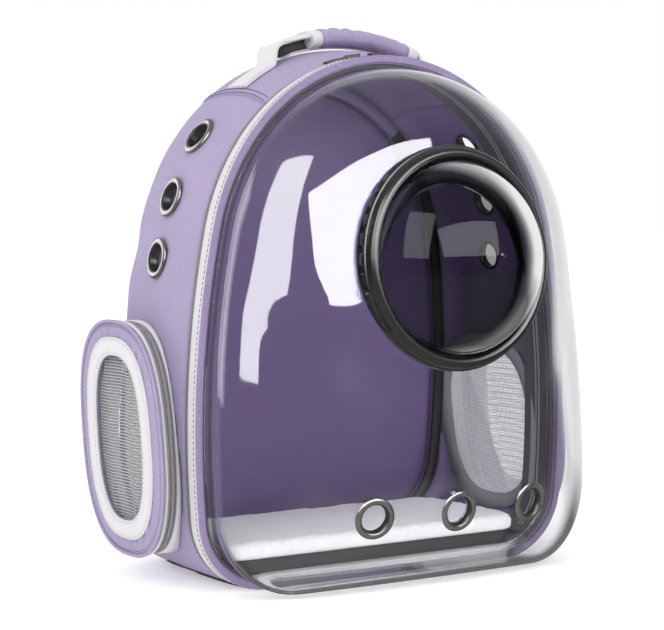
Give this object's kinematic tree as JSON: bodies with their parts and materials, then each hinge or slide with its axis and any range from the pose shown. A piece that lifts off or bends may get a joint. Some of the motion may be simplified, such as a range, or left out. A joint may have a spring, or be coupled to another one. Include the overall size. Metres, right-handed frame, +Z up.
{
  "type": "bubble pet carrier backpack",
  "caption": "Arched fabric pet backpack with a clear domed door, round bubble window, side vent pouches, top handle and shoulder straps.",
  "frame": {"origin": "middle of the flat underside of the base panel", "axes": "+Z up, -Y towards the clear door, +X to the right of someone who looks at the door"},
  "size_m": [0.3572, 0.2997, 0.3944],
  "materials": {
    "fabric": "lavender woven polyester, matt",
    "inner_fabric": "deep purple smooth woven lining of the back panel",
    "webbing": "light grey woven tape and webbing",
    "zip_tape": "grey zip tape with moulded coil teeth",
    "black_fabric": "black coated fabric and binding",
    "board_cover": "grey fabric over a stiff floor board",
    "plush": "white short-pile plush",
    "clear_plastic": "clear vacuum-formed sheet, glossy",
    "ring_plastic": "black moulded plastic, satin with a glossy bead",
    "black_plastic": "black moulded plastic",
    "eyelet_metal": "gunmetal plated steel",
    "net": "light grey ribbed vent net"
  },
  "bodies": {
    "root": {"front_frame": "fabric", "front_piping": "webbing", "front_zip": "zip_tape", "zip_slider_left": "black_plastic", "zip_slider_right": "black_plastic", "left_side_band": "fabric", "right_side_band": "fabric", "top_band": "fabric", "base_panel": "black_fabric", "back_panel": "inner_fabric", "back_binding": "black_fabric", "floor_board": "board_cover", "floor_pad": "plush", "clear_shell": "clear_plastic", "front_eyelet_1": "eyelet_metal", "front_eyelet_2": "eyelet_metal", "front_eyelet_3": "eyelet_metal", "bubble_ring": "ring_plastic", "bubble_dome": "clear_plastic", "left_eyelet_1": "eyelet_metal", "left_eyelet_2": "eyelet_metal", "left_eyelet_3": "eyelet_metal", "right_eyelet_1": "eyelet_metal", "right_eyelet_2": "eyelet_metal", "right_eyelet_3": "eyelet_metal", "left_pouch_base": "webbing", "left_pouch_zip": "zip_tape", "left_pouch_rim": "webbing", "left_pouch_face": "fabric", "left_pouch_trim": "webbing", "left_pouch_net": "net", "right_pouch_base": "webbing", "right_pouch_zip": "zip_tape", "right_pouch_rim": "webbing", "right_pouch_face": "fabric", "right_pouch_trim": "webbing", "right_pouch_net": "net", "handle_webbing": "webbing", "handle_grip": "fabric", "handle_cuff_left": "webbing", "handle_cuff_right": "webbing", "left_strap_pad": "fabric", "left_strap_buckle": "black_plastic", "left_strap_tail": "webbing", "right_strap_pad": "fabric", "right_strap_buckle": "black_plastic", "right_strap_tail": "webbing"}
  },
  "joints": []
}
